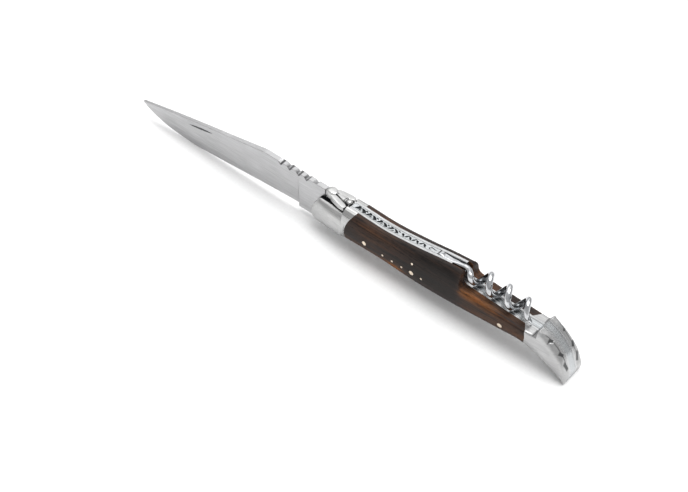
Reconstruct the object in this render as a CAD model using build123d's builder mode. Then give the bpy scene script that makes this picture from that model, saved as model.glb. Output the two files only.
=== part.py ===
from build123d import *
from math import cos, pi, sin, sqrt
import os

# A slip-joint pocket knife with a folding corkscrew, open, standing on the
# tip of its tail and the belly of its blade with its back up.
# +X runs to the blade's tip, +Y to the side with the nail nick, +Z up.
# The origin is the middle of the box around the knife, at the floor.

os.makedirs("parts", exist_ok=True)

# ---------------------------------------------------------------- thicknesses
SLOT_HALF = 1.3            # half the gap between the liners, filled by the spring
LINER_THICK = 1.05
LINER_OUT = SLOT_HALF + LINER_THICK
BLADE_HALF = 1.22          # half the thickness of what turns in the slot
EDGE_HALF = 0.15           # half the thickness left at the cutting edge

# ---------------------------------------------------------------- handle
# Each row is one cross-section of a handle half:
# x, belly height, back height, bulge past the liner, squareness of the curve.
SECTIONS = [
    (9.0, 3.4, 18.2, 1.7, 2.3),
    (4.0, 3.6, 18.8, 2.7, 2.3),
    (-2.0, 4.0, 19.1, 3.5, 2.3),
    (-12.0, 4.6, 19.0, 4.0, 2.3),
    (-27.0, 5.0, 18.3, 4.1, 2.3),
    (-44.0, 4.0, 19.7, 4.1, 2.3),
    (-56.0, 4.1, 21.3, 4.0, 2.3),
    (-66.0, 4.7, 21.9, 4.0, 2.3),
    (-80.0, 6.0, 20.5, 3.8, 2.4),
    (-92.0, 6.6, 19.0, 3.5, 2.6),
    (-101.0, 3.6, 18.6, 3.4, 3.0),
    (-110.5, -0.4, 17.6, 3.2, 3.4),
]
ARM_ROWS = SECTIONS[3:6]   # the sections whose back the spring's arm follows
TAIL_END = -109.6
HANDLE_FRONT = [(3.0, 21.0), (4.3, 16.1), (6.9, 12.2), (8.2, 8.8), (8.2, 5.3), (7.0, 2.0)]
WOOD_FRONT = [(-15.8, 21.0), (-12.4, 15.5), (-10.6, 8.5), (-11.4, 2.0)]
TAIL_FLAT = 14.3           # height of the flat back ahead of the tail's step
WOOD_REAR = [(-89.8, TAIL_FLAT), (-92.4, 2.0)]
HUMP_END = -63.7           # where the raised front of the scales stops
HUMP_TOP = 21.9
HUMP_FOOT = 16.1
HUMP_ROUND = 1.9
FOOT_ROUND = 1.6
SHANK_RELIEF = -57.6       # the liners are cut away beside the shank behind here
SCOOP_FLOOR = 15.9         # the bolsters are cut down to here under the thumb rest
SCOOP_BACK = -10.0
STEP_FOOT = (-94.8, TAIL_FLAT)  # foot and lip of the step across the tail's back
STEP_LIP = (-96.7, 17.4)
TAIL_BACK = [(-100.9, 15.4), (-104.7, 12.3), (-107.6, 8.6), (TAIL_END, 3.6)]

# ---------------------------------------------------------------- blade
PIVOT = (1.5, 8.3)         # x and z
PIVOT_RADIUS = 1.5
RUNNING_FIT = 0.05
TANG_RADIUS = 6.4
NOTCH = 3.1                # the tang's notch for the spring's nose
RICASSO_BACK = 19.4
RICASSO_BOTTOM = 3.0
HEEL = (17.0, 2.6)
PLUNGE = 17.0              # where the ricasso ends and the grind begins
TIP = (109.6, 7.6)
SPINE = [(16.0, 19.6), (26.0, 19.8), (35.2, 20.0)]
BACK_TO_TIP = [(51.8, 17.3), (74.3, 13.8), (93.8, 10.5)]
EDGE = [(108.0, 6.1), (104.4, 4.1), (97.1, 1.7), (89.6, 0.6), (78.4, 0.0), (67.4, 0.4), (49.6, 1.6),
        (32.5, 2.7), (18.4, 3.4)]
NICK = [(80.5, 10.1), (72.9, 12.1), (64.8, 12.9), (72.4, 11.0)]
NICK_DEPTH = 0.45
NICK_FACE = 0.75           # the blade is this much thicker than its ground face at the nick
GRIND_TOP = 20.5           # the grind runs out to full thickness at this height
GRIND_FOOT = -1.0          # and to the edge's thickness at this one
FILEWORK = [(25.2, 19.75), (20.4, 19.7), (15.3, 19.65), (11.0, 19.6)]
FILE_RADIUS = 1.3

# ---------------------------------------------------------------- spring
NOSE_FRONT = 2.8
NOSE_BOTTOM = 15.0
NOSE_TOP = 17.2
NOSE_BACK = -7.0           # behind this the arm is deeper
ARM_BOTTOM = 13.4
SPRING_BOTTOM = 12.8
SEAM = (-50.32, 20.6)      # back end of the flush front arm, where the corkscrew begins
CHANNEL_FLOOR = 14.75      # the spring's back under the corkscrew's root
CHANNEL_RAMP = 3.0         # behind the hump, the channel rises to the flat over this length
RAMP_TOP = 15.75
TAIL_EDGE = 0.3            # height of the spring's bottom corners in the tail
SPRING_TAIL = [(-80.0, 12.7), (-93.5, 10.9), (-102.7, 7.3), (-107.4, 2.6)]

# ---------------------------------------------------------------- thumb rest
REST_SIDE = [(2.2, 1.6), (-0.5, 2.4), (-7.6, 4.2)]  # x and y of its left outline
REST_REAR = [(-8.4, 3.6), (-7.4, 1.7), (-9.3, 0.9), (-9.5, 0.0)]
REST_HEIGHT = 2.2          # above the spring's nose
BUD_PLACE = 0.2
BUD_LENGTH = 5.2
BUD_WIDTH = 3.8
BUD_HEIGHT = 3.7
BUD_CHAMFER = 0.6

# ---------------------------------------------------------------- corkscrew
ROOT = (-53.3, 17.9)       # its pivot, x and z
ROOT_RADIUS = 2.9
ROOT_PIN_RADIUS = 1.0
ROOT_CORNER = (-50.5, 20.6)  # flush with the spring's back when the corkscrew is folded
ROOT_SWING = 4.03          # the spring's end is hollowed to let that corner turn
ROOT_FLAT = 3.2            # the root's back is level this far behind the pivot
SHANK_CROOK = (-54.9, 16.3)  # where the shank's underside meets the root
SHANK_LEAD = 1.2           # the round wire starts this far inside the flat shank
SHANK_END = -60.4
WIRE_RADIUS = 1.2
SHANK_HEIGHT = 20.3        # middle of the shank where it turns into wire
NECK_MIDDLE = (-63.4, 0.35, 20.9)  # where the shank turns out into the helix
WORM_START = -66.4         # where the helix passes its near side
WORM_HEIGHT = 20.55        # of the helix's axis at that place
WORM_RADIUS = 2.85         # of the wire's middle
WORM_PITCH = 7.95
WORM_TURNS = 3.1
WORM_SLOPE = 0.083         # fall of the axis towards the tail
POINT_LENGTH = 2.4
POINT_RADIUS = 0.15

# ---------------------------------------------------------------- pins
RIVET_RADIUS = 0.95
RIVETS = [(-21.0, 10.4), (-43.4, 10.0), (-82.1, 10.2)]
CROSS_CENTRE = RIVETS[1]
CROSS_RADIUS = 0.45
CROSS_STEP = 4.5
CROSS = [(3, 0), (2, 0), (1, 0), (-1, 0), (0, 1), (0, -1)]
SPRING_PINS = [(-44.0, 16.3), (-93.0, 12.4)]
TAIL_PIN = (-101.5, 10.0)
BOLSTER_PINS = [(-6.5, 6.8), (-6.5, 13.0)]
PIN_RADIUS = 1.0
BOLSTER_PIN_REACH = 4.2    # how far from the middle the hidden bolster pins go
BEYOND = 12.0              # past every outside face, for cutters
KNIFE_REACH = 120.0        # longer than the knife to either side of the origin


def side_plane(y=0.0):
    """The upright plane at this y, with X to the right and Z up, facing -Y."""
    return Plane.XZ.offset(-y)


def half_section(x, belly, back, bulge, squareness):
    """One cross-section of a handle half: flat at the liner, crowned outside."""
    middle = (back + belly) / 2
    half = (back - belly) / 2
    crown = []
    for step in range(13):
        turn = pi * step / 12
        side = -1 if step < 6 else 1
        rise = side * abs(cos(turn)) ** (2 / squareness)
        reach = sin(turn) ** (2 / squareness)
        crown.append((LINER_OUT + bulge * reach, middle + half * rise))
    with BuildSketch(Plane.YZ.offset(x)) as section:
        with BuildLine():
            Spline(*crown)
            Line(crown[-1], crown[0])
        make_face()
    return section.sketch


def cylinders(places, radius, from_y, to_y):
    """Round bars across the knife, one at each x and z, between two values of y."""
    with BuildPart() as bars:
        with BuildSketch(side_plane(to_y)):
            with Locations(*places):
                Circle(radius)
        extrude(amount=to_y - from_y)
    return bars.part


def slab(outline, from_y=-BEYOND, to_y=BEYOND):
    """A side outline, given as a sketch, made as thick as the two values of y."""
    with BuildPart() as thick:
        with BuildSketch(side_plane(to_y)):
            add(outline)
        extrude(amount=to_y - from_y)
    return thick.part


def opposite(piece):
    """The same piece on the other side of the knife."""
    return mirror(piece, about=Plane.XZ)


def save(piece, name):
    piece.label = name
    export_step(piece, f"parts/{name}.step")


# ---------------------------------------------------------------- zones of the handle
with BuildSketch() as bolster_zone:
    with BuildLine():
        Spline(*HANDLE_FRONT)
        Line(HANDLE_FRONT[-1], WOOD_FRONT[-1])
        Spline(*WOOD_FRONT)
        Line(WOOD_FRONT[0], HANDLE_FRONT[0])
    make_face()

with BuildSketch() as scoop_zone:
    with BuildLine():
        Polyline((9, SCOOP_FLOOR), (SCOOP_BACK, SCOOP_FLOOR), (SCOOP_BACK, 22), (9, 22), close=True)
    make_face()

with BuildSketch() as wood_zone:
    with BuildLine():
        Spline(*WOOD_FRONT)
        Polyline(WOOD_FRONT[-1], (WOOD_FRONT[-1][0], 0.0), (WOOD_REAR[1][0], 0.0), WOOD_REAR[1],
                 WOOD_REAR[0], (HUMP_END, HUMP_FOOT), (HUMP_END, HUMP_TOP), (-40.0, 24.0),
                 (WOOD_FRONT[0][0], 24.0), WOOD_FRONT[0])
    make_face()
    corners = vertices().filter_by_position(Axis.X, HUMP_END - 0.1, HUMP_END + 0.1)
    fillet(corners.sort_by(Axis.Y)[0], FOOT_ROUND)
    fillet(vertices().sort_by_distance((HUMP_END, HUMP_TOP))[0], HUMP_ROUND)

with BuildSketch() as tail_zone:
    with BuildLine():
        Polyline(WOOD_REAR[1], WOOD_REAR[0], STEP_FOOT, STEP_LIP)
        Spline(STEP_LIP, *TAIL_BACK)
        Polyline(TAIL_BACK[-1], (TAIL_END, 0.0), (WOOD_REAR[1][0], 0.0), WOOD_REAR[1])
    make_face()

with BuildSketch() as relief_zone:
    with Locations((SHANK_RELIEF, HUMP_FOOT)):
        Rectangle(12.0, 8.0, align=(Align.MAX, Align.MIN))
    fillet(vertices().sort_by_distance((SHANK_RELIEF, HUMP_FOOT))[0], 2.0)

# ---------------------------------------------------------------- handle halves, left side
with BuildPart() as half_handle:
    loft([half_section(*row) for row in SECTIONS])

with BuildPart() as front_bolster:
    add(half_handle.part)
    add(slab(bolster_zone.sketch), mode=Mode.INTERSECT)
    add(slab(scoop_zone.sketch), mode=Mode.SUBTRACT)

with BuildPart() as scale:
    add(half_handle.part)
    add(slab(wood_zone.sketch), mode=Mode.INTERSECT)

with BuildPart() as tail_bolster:
    add(half_handle.part)
    add(slab(tail_zone.sketch), mode=Mode.INTERSECT)

# The liner has the outline of the three pieces that lie on it.
with BuildPart() as liner:
    for piece in (front_bolster, scale, tail_bolster):
        inner_face = piece.faces().filter_by(Plane.XZ).sort_by(Axis.Y)[0]
        extrude(inner_face, amount=LINER_THICK, dir=(0, -1, 0))

with BuildPart() as relieved_liner:
    add(liner.part)
    add(slab(relief_zone.sketch), mode=Mode.SUBTRACT)

# Everything that a pin's ends are filed flush with.
with BuildPart() as whole_half:
    add(front_bolster.part)
    add(scale.part)
    add(tail_bolster.part)
    add(liner.part)

cross_places = [
    (CROSS_CENTRE[0] + along * CROSS_STEP, CROSS_CENTRE[1] + up * CROSS_STEP) for along, up in CROSS
]

# ---------------------------------------------------------------- pins
with BuildPart() as scale_rivets:
    add(cylinders(RIVETS, RIVET_RADIUS, SLOT_HALF, BEYOND))
    add(whole_half.part, mode=Mode.INTERSECT)

with BuildPart() as cross_pins:
    add(cylinders(cross_places, CROSS_RADIUS, SLOT_HALF, BEYOND))
    add(whole_half.part, mode=Mode.INTERSECT)

with BuildPart() as bolster_pins:
    add(cylinders(BOLSTER_PINS, PIN_RADIUS, SLOT_HALF, BOLSTER_PIN_REACH))

with BuildPart() as both_halves:
    add(whole_half.part)
    add(opposite(whole_half.part))
    Box(2 * KNIFE_REACH, 2 * SLOT_HALF, KNIFE_REACH)

with BuildPart() as blade_pivot_pin:
    add(cylinders([PIVOT], PIVOT_RADIUS, -BEYOND, BEYOND))
    add(both_halves.part, mode=Mode.INTERSECT)

with BuildPart() as tail_pin:
    add(cylinders([TAIL_PIN], PIN_RADIUS, -BEYOND, BEYOND))
    add(both_halves.part, mode=Mode.INTERSECT)

with BuildPart() as spring_pins:
    add(cylinders(SPRING_PINS, PIN_RADIUS, -LINER_OUT, LINER_OUT))

with BuildPart() as corkscrew_pivot_pin:
    add(cylinders([ROOT], ROOT_PIN_RADIUS, -LINER_OUT, LINER_OUT))

# ---------------------------------------------------------------- holes for them
with BuildPart() as drilled_bolster:
    add(front_bolster.part)
    add(cylinders([PIVOT], PIVOT_RADIUS, 0, BEYOND), mode=Mode.SUBTRACT)
    add(bolster_pins.part, mode=Mode.SUBTRACT)

with BuildPart() as drilled_tail:
    add(tail_bolster.part)
    add(cylinders([TAIL_PIN], PIN_RADIUS, 0, BEYOND), mode=Mode.SUBTRACT)

with BuildPart() as drilled_scale:
    add(scale.part)
    add(cylinders(RIVETS, RIVET_RADIUS, 0, BEYOND), mode=Mode.SUBTRACT)
    add(cylinders(cross_places, CROSS_RADIUS, 0, BEYOND), mode=Mode.SUBTRACT)

with BuildPart() as drilled_liner:
    add(relieved_liner.part)
    add(cylinders(RIVETS, RIVET_RADIUS, 0, BEYOND), mode=Mode.SUBTRACT)
    add(cylinders(cross_places, CROSS_RADIUS, 0, BEYOND), mode=Mode.SUBTRACT)
    add(cylinders([PIVOT], PIVOT_RADIUS, 0, BEYOND), mode=Mode.SUBTRACT)
    add(cylinders([ROOT], ROOT_PIN_RADIUS, 0, BEYOND), mode=Mode.SUBTRACT)
    add(cylinders(SPRING_PINS + [TAIL_PIN] + BOLSTER_PINS, PIN_RADIUS, 0, BEYOND), mode=Mode.SUBTRACT)

# ---------------------------------------------------------------- backspring
with BuildPart() as backspring:
    with BuildSketch(side_plane(SLOT_HALF)):
        with BuildLine():
            arm_back = [(row[0], row[2]) for row in ARM_ROWS]
            Polyline((NOSE_FRONT, NOSE_BOTTOM), (NOSE_FRONT, NOSE_TOP), (SCOOP_BACK, NOSE_TOP),
                     (SCOOP_BACK, arm_back[0][1]), arm_back[0])
            swing_drop = ROOT[1] - CHANNEL_FLOOR
            arm_foot = (ROOT[0] + sqrt(ROOT_SWING**2 - swing_drop**2), CHANNEL_FLOOR)
            Spline(*arm_back, SEAM)
            ThreePointArc(SEAM, (ROOT[0] + ROOT_SWING, ROOT[1]), arm_foot)
            Polyline(arm_foot, (HUMP_END, CHANNEL_FLOOR), (HUMP_END - CHANNEL_RAMP, RAMP_TOP),
                     WOOD_REAR[0], STEP_FOOT, STEP_LIP)
            Spline(STEP_LIP, *TAIL_BACK)
            Polyline(TAIL_BACK[-1], (TAIL_END, TAIL_EDGE), (SPRING_TAIL[-1][0], TAIL_EDGE), SPRING_TAIL[-1])
            Spline(*SPRING_TAIL)
            Polyline(SPRING_TAIL[0], (-30.0, SPRING_BOTTOM), (NOSE_BACK - 2.5, ARM_BOTTOM),
                     (NOSE_BACK, NOSE_BOTTOM), (NOSE_FRONT, NOSE_BOTTOM))
        make_face()
    extrude(amount=2 * SLOT_HALF)
    add(cylinders(SPRING_PINS + [TAIL_PIN], PIN_RADIUS, -BEYOND, BEYOND), mode=Mode.SUBTRACT)

# ---------------------------------------------------------------- thumb rest, brazed on the nose
with BuildPart() as thumb_rest:
    with BuildSketch(Plane.XY.offset(NOSE_TOP)):
        with BuildLine():
            Spline((NOSE_FRONT, 0.0), *REST_SIDE)
            Polyline(REST_SIDE[-1], *REST_REAR, (NOSE_FRONT, 0.0))
        make_face()
        mirror(about=Plane.XZ)
    extrude(amount=REST_HEIGHT)
    with BuildSketch(Plane.XY.offset(NOSE_TOP)):
        with Locations((BUD_PLACE, 0.0)):
            Ellipse(BUD_LENGTH / 2, BUD_WIDTH / 2)
    extrude(amount=BUD_HEIGHT)
    chamfer(edges().group_by(Axis.Z)[-1], BUD_CHAMFER)

# ---------------------------------------------------------------- blade
with BuildPart() as blade:
    with BuildSketch(side_plane(BLADE_HALF)):
        with BuildLine():
            tang_top = PIVOT[1] + TANG_RADIUS
            tang_low = (PIVOT[0] - sqrt(TANG_RADIUS**2 - (PIVOT[1] - RICASSO_BOTTOM) ** 2), RICASSO_BOTTOM)
            Polyline((PIVOT[0], tang_top), (NOTCH, tang_top), (NOTCH, RICASSO_BACK))
            Spline((NOTCH, RICASSO_BACK), *SPINE)
            Spline(SPINE[-1], *BACK_TO_TIP, TIP)
            Spline(TIP, *EDGE)
            Polyline(EDGE[-1], HEEL, (HEEL[0] - 1.0, RICASSO_BOTTOM), tang_low)
            ThreePointArc(tang_low, (PIVOT[0] - TANG_RADIUS, PIVOT[1]), (PIVOT[0], tang_top))
        make_face()
    extrude(amount=2 * BLADE_HALF)
    with BuildSketch(Plane.YZ.offset(PLUNGE)):
        with BuildLine():
            Polyline((BLADE_HALF, GRIND_TOP), (EDGE_HALF, GRIND_FOOT), (BEYOND, GRIND_FOOT),
                     (BEYOND, GRIND_TOP), close=True)
        make_face()
        mirror(about=Plane.YZ)
    extrude(amount=TIP[0] - PLUNGE + BEYOND, mode=Mode.SUBTRACT)
    with BuildSketch(side_plane(BLADE_HALF)):
        with BuildLine():
            ThreePointArc(NICK[0], NICK[1], NICK[2])
            ThreePointArc(NICK[2], NICK[3], NICK[0])
        make_face()
    extrude(amount=NICK_FACE + NICK_DEPTH, mode=Mode.SUBTRACT)
    add(cylinders(FILEWORK, FILE_RADIUS, -BEYOND, BEYOND), mode=Mode.SUBTRACT)
    add(cylinders([PIVOT], PIVOT_RADIUS + RUNNING_FIT, -BEYOND, BEYOND), mode=Mode.SUBTRACT)

# ---------------------------------------------------------------- corkscrew
axis_length = sqrt(1 + WORM_SLOPE**2)
worm_frame = Plane(
    origin=(WORM_START, 0, WORM_HEIGHT),
    x_dir=(0, 1, 0),
    z_dir=(-1 / axis_length, 0, -WORM_SLOPE / axis_length),
)
helix = worm_frame.location * Helix(WORM_PITCH, WORM_PITCH * WORM_TURNS, WORM_RADIUS)
helix_start = helix @ 0
helix_way = helix % 0
shank_place = Vector(SHANK_END + SHANK_LEAD, 0, SHANK_HEIGHT)
shank_way = Vector(-1, 0, 0.12)
with BuildLine() as neck:
    Spline(shank_place, NECK_MIDDLE, helix_start, tangents=[shank_way, helix_way])

with BuildPart() as corkscrew:
    with BuildSketch(side_plane(BLADE_HALF)):
        with Locations(ROOT):
            Circle(ROOT_RADIUS)
        with BuildLine():
            root_top = ROOT[1] + ROOT_RADIUS
            shank_top = SHANK_HEIGHT + WIRE_RADIUS
            shank_low = SHANK_HEIGHT - WIRE_RADIUS
            Polyline(ROOT_CORNER, (ROOT[0], root_top), (ROOT[0] - ROOT_FLAT, root_top),
                     (SHANK_END, shank_top), (SHANK_END, shank_low), SHANK_CROOK,
                     ROOT, (ROOT_CORNER[0], ROOT[1]), close=True)
        make_face()
    extrude(amount=2 * BLADE_HALF)
    with BuildSketch(Plane(origin=shank_place, z_dir=shank_way)):
        Circle(WIRE_RADIUS)
    sweep(path=neck.line)
    with BuildSketch(Plane(origin=helix_start, z_dir=helix_way)):
        Circle(WIRE_RADIUS)
    sweep(path=helix, is_frenet=True)
    with Locations(Plane(origin=helix @ 1, z_dir=helix % 1)):
        Cone(WIRE_RADIUS, POINT_RADIUS, POINT_LENGTH, align=(Align.CENTER, Align.CENTER, Align.MIN))
    add(cylinders([ROOT], ROOT_PIN_RADIUS + RUNNING_FIT, -BEYOND, BEYOND), mode=Mode.SUBTRACT)

# ---------------------------------------------------------------- write the pieces
paired = {
    "front_bolster": drilled_bolster.part,
    "scale": drilled_scale.part,
    "tail_bolster": drilled_tail.part,
    "liner": drilled_liner.part,
    "scale_rivets": scale_rivets.part,
    "cross_pins": cross_pins.part,
    "bolster_pins": bolster_pins.part,
}
for name, piece in paired.items():
    save(piece, f"left_{name}")
    save(opposite(piece), f"right_{name}")

single = {
    "backspring": backspring.part,
    "thumb_rest": thumb_rest.part,
    "spring_pins": spring_pins.part,
    "tail_pin": tail_pin.part,
    "blade_pivot_pin": blade_pivot_pin.part,
    "corkscrew_pivot_pin": corkscrew_pivot_pin.part,
    "blade": blade.part,
    "corkscrew": corkscrew.part,
}
for name, piece in single.items():
    save(piece, name)
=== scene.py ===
from functools import partial
from math import radians

import bmesh
import bpy
import numpy as np
from mathutils import Matrix, Vector


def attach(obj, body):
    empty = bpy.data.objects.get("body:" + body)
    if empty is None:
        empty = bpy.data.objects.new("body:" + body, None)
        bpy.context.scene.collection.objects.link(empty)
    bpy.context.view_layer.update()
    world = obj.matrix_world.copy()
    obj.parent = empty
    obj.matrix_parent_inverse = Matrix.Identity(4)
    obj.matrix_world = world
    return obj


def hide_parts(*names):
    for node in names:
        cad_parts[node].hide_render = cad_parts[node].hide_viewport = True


# A slip-joint pocket knife with a folding corkscrew, open, standing with its back up.
# Lengths are in millimetres in the CAD model's frame: +X to the blade's tip, +Y to the
# side with the nail nick, +Z up. skin() turns them into metres.

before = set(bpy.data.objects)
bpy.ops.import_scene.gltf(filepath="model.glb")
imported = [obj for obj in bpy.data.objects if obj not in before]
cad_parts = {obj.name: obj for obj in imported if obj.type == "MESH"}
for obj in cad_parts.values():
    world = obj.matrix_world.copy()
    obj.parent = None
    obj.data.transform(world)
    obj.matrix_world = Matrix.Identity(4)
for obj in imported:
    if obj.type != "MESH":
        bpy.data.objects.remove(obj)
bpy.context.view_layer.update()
MM = 0.001

# ================================================================ driving dimensions
SLOT_HALF = 1.3            # half the gap between the liners
LINER_OUT = 2.35           # the liners' outer faces
# The handle's form: x, belly, back, how far the side swells past the liner, squareness.
SECTIONS = [
    (9.0, 3.4, 18.2, 1.7, 2.3),
    (4.0, 3.6, 18.8, 2.7, 2.3),
    (-2.0, 4.0, 19.1, 3.5, 2.3),
    (-12.0, 4.6, 19.0, 4.0, 2.3),
    (-27.0, 5.0, 18.3, 4.09, 2.3),
    (-44.0, 4.0, 19.7, 4.09, 2.3),
    (-56.0, 4.1, 21.3, 4.0, 2.3),
    (-66.0, 4.7, 21.9, 4.0, 2.3),
    (-80.0, 6.0, 20.5, 3.8, 2.4),
    (-92.0, 6.6, 19.0, 3.5, 2.6),
    (-101.0, 3.6, 18.6, 3.4, 3.0),
    (-110.5, -0.4, 17.6, 3.2, 3.4),
]
# The handle's ends and joints, as pairs of height and x.
HANDLE_FRONT = [(21.0, 3.0), (16.1, 4.3), (12.2, 6.9), (8.8, 8.2), (5.3, 8.2), (2.0, 7.0)]
WOOD_FRONT = [(21.0, -15.8), (15.5, -12.4), (8.5, -10.6), (2.0, -11.4)]
WOOD_REAR = [(14.3, -89.8), (2.0, -92.4)]
SCOOP_FLOOR = 15.9         # the bolsters and liners are cut down to here under the thumb rest
SCOOP_BACK = -10.0
COLLAR = -9.2              # the bolster's dome ends here in a step up to its collar
HUMP_END = -63.7           # the wood is full height to here, then falls in a wall to the facet
HUMP_FOOT = 16.1
HUMP_ROUND = 1.9
FOOT_ROUND = 1.6
RELIEF = -57.6             # the left liner is cut away beside the shank behind here
FAR_RELIEF = -61.6         # and the right one behind here
RELIEF_ROUND = 2.0
TAIL_FLAT = 14.3           # the flat behind the worm's point, and the step up from it
STEP_FOOT = -94.8
STEP_LIP = (-96.7, 17.4)
TAIL_BACK = [STEP_LIP, (-100.9, 15.4), (-104.7, 12.3), (-107.6, 8.6), (-109.6, 3.6)]
TAIL_END = -109.6
TAIL_BAND = [(-96.7, 4.6), (-101.0, 3.7), (-105.0, 3.3), (-109.6, 3.2)]  # the brushed back's half-width
NOTCHES = [-101.4, -105.8, -108.4]
SEAM = -50.32              # the flush end of the spring's arm
SWING_CENTRE = (-53.3, 17.9)  # the corkscrew's pivot, round which the arm's end is hollowed
SWING_REACH = 4.03
CHANNEL = 14.75            # the floor that the shank lies over
NOSE_TOP = 17.2
PIVOT = (1.5, 8.3)
RIVETS = [(-21.0, 10.4), (-43.4, 10.0), (-82.1, 10.2)]
CROSS = [(3, 0), (2, 0), (1, 0), (-1, 0), (0, 1), (0, -1)]
CROSS_STEP = 4.5
TAIL_PIN = (-101.5, 10.0)
WALL = 0.004               # an upright wall leans by this much, so that its skin stays one sheet


# ================================================================ shape helpers
def through(points):
    """A smooth curve through points, as a function from the first value to the second."""
    places, heights = np.array(sorted(points), float).T
    slopes = np.gradient(heights, places)

    def height(x):
        x = np.clip(x, places[0], places[-1])
        i = np.clip(np.searchsorted(places, x) - 1, 0, len(places) - 2)
        gap = places[i + 1] - places[i]
        t = (x - places[i]) / gap
        rise = heights[i] * (1 + 2 * t) * (1 - t) ** 2 + heights[i + 1] * t * t * (3 - 2 * t)
        return rise + gap * (slopes[i] * t * (1 - t) ** 2 - slopes[i + 1] * t * t * (1 - t))

    return height


def along(points):
    """Straight runs through points, as a function from the first value to the second."""
    places, heights = np.array(sorted(points), float).T
    return lambda x: np.interp(x, places, heights)


def ease(value, start, end):
    """0 before start, 1 after end, and smooth between."""
    t = np.clip((value - start) / (end - start), 0, 1)
    return t * t * (3 - 2 * t)


def groove(distance, half_width):
    """1 in the middle of a V cut, falling to 0 at its edges."""
    return np.clip(1 - np.abs(distance) / half_width, 0, 1)


def row(first, last, gap):
    """Places from first to last, about one gap apart."""
    return np.linspace(first, last, max(2, int(abs(last - first) / gap) + 1))


def run(xs, tops):
    """Stations along a back line: pairs of x and height."""
    return list(zip(xs, np.broadcast_to(tops, np.shape(xs))))


belly, back, bulge, squareness = (through([(r[0], r[i]) for r in SECTIONS]) for i in range(1, 5))
handle_front, wood_front = through(HANDLE_FRONT), through(WOOD_FRONT)
wood_rear = along(WOOD_REAR)
facet_top = along([(HUMP_END, HUMP_FOOT), (WOOD_REAR[0][1], TAIL_FLAT)])
tail_back = through(TAIL_BACK)
tail_band = through(TAIL_BAND)


def section(x, crown_top=back):
    """The handle's belly, middle height, half height, swell and squareness at x."""
    low = np.maximum(belly(x), 0.0)
    high = crown_top(x)
    return (low + high) / 2, (high - low) / 2, bulge(x), squareness(x)


def side_reach(x, z):
    """How far out the side of the handle stands at x and z."""
    middle, half, swell, n = section(x)
    share = np.clip(np.abs((z - middle) / half), 0, 1)
    return LINER_OUT + swell * (1 - share**n) ** (1 / n)


LEAN = -0.65               # the joint's lean across the facet, in mm for each mm outward
LEAN_WIDTH = 2.8


def joint_lean(y, z):
    """How far back the joint between wood and tail leans, going outward across the facet."""
    return LEAN * np.minimum(y - LINER_OUT, LEAN_WIDTH) * ease(z, 5.0, 12.5)


# ================================================================ mesh helpers
SAME_POINT = 2e-7          # metres
NO_LENGTH = 1e-7


def skin(name, parts, tones=None):
    """A mesh of closed skins. A part is a stack of rings of points, joined ring to ring and
    closed at both ends. A tone is a value for every point that its material reads."""
    form = bmesh.new()
    layer = form.verts.layers.float.new("tone")
    for which, rings in enumerate(parts):
        corners = [[form.verts.new(Vector(point) * MM) for point in ring] for ring in rings]
        if tones is not None:
            for ring, values in zip(corners, tones[which]):
                for corner, value in zip(ring, values):
                    corner[layer] = float(value)
        around = len(corners[0])
        for near, far in zip(corners, corners[1:]):
            for j in range(around):
                k = (j + 1) % around
                form.faces.new((near[j], near[k], far[k], far[j]))
        form.faces.new(corners[0][::-1])
        form.faces.new(corners[-1])
    bmesh.ops.remove_doubles(form, verts=form.verts, dist=SAME_POINT)
    bmesh.ops.dissolve_degenerate(form, edges=form.edges, dist=NO_LENGTH)
    bmesh.ops.recalc_face_normals(form, faces=form.faces)
    mesh = bpy.data.meshes.new(name)
    form.to_mesh(mesh)
    form.free()
    return mesh


def add_piece(name, mesh, body, material, replaced, sharp=32):
    """A finished piece, with the edges that turn by more than the sharp angle kept crisp."""
    for polygon in mesh.polygons:
        polygon.use_smooth = True
    mesh.set_sharp_from_angle(angle=radians(sharp))
    mesh.materials.append(material)
    piece = bpy.data.objects.new(name, mesh)
    bpy.context.scene.collection.objects.link(piece)
    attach(piece, body)
    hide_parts(*replaced)


def other_side(rings):
    """The rings mirrored to the handle's other side."""
    return rings * np.array([1.0, -1.0, 1.0])


def both_sides(name, parts, material, tones=None, sharp=32):
    """The left piece and its mirror image on the right."""
    for side, turned in (("left", parts), ("right", [other_side(rings) for rings in parts])):
        mesh = skin(f"{side}_{name}_form", turned, tones)
        add_piece(f"{side}_{name}_form", mesh, "handle", material, [f"{side}_{name}"], sharp)


# ================================================================ materials
def linear(hex_colour):
    """An sRGB hex colour as the linear values that a shader takes."""
    values = [int(hex_colour[i : i + 2], 16) / 255 for i in (1, 3, 5)]
    return tuple(v / 12.92 if v <= 0.04045 else ((v + 0.055) / 1.055) ** 2.4 for v in values) + (1.0,)


def per_mm(x, y, z):
    """The mapping scale that makes a pattern's features this many millimetres long."""
    return (1 / (x * MM), 1 / (y * MM), 1 / (z * MM))


def add_node(tree, kind, out=0, links=None, values=None, stops=(), **settings):
    """Adds a node with its settings, socket values and incoming links. Returns its output."""
    node = tree.nodes.new("ShaderNode" + kind)
    for name, value in settings.items():
        setattr(node, name, value)
    for socket, value in (values or {}).items():
        node.inputs[socket].default_value = value
    for socket, source in (links or {}).items():
        tree.links.new(source, node.inputs[socket])
    if stops:
        elements = node.color_ramp.elements
        while len(elements) < len(stops):
            elements.new(0.5)
        for element, (position, colour) in zip(elements, stops):
            element.position = position
            element.color = linear(colour)
    return node.outputs[out]


# A noise texture stays mostly between these.
NOISE = {"From Min": 0.3, "From Max": 0.7}


def start_material(name, metallic):
    """A new material, with its node tree, its shader, and add_node for that tree."""
    material = bpy.data.materials.new(name)
    material.use_nodes = True
    tree = material.node_tree
    shader = tree.nodes["Principled BSDF"]
    shader.inputs["Metallic"].default_value = metallic
    return material, tree, shader, partial(add_node, tree)


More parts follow.
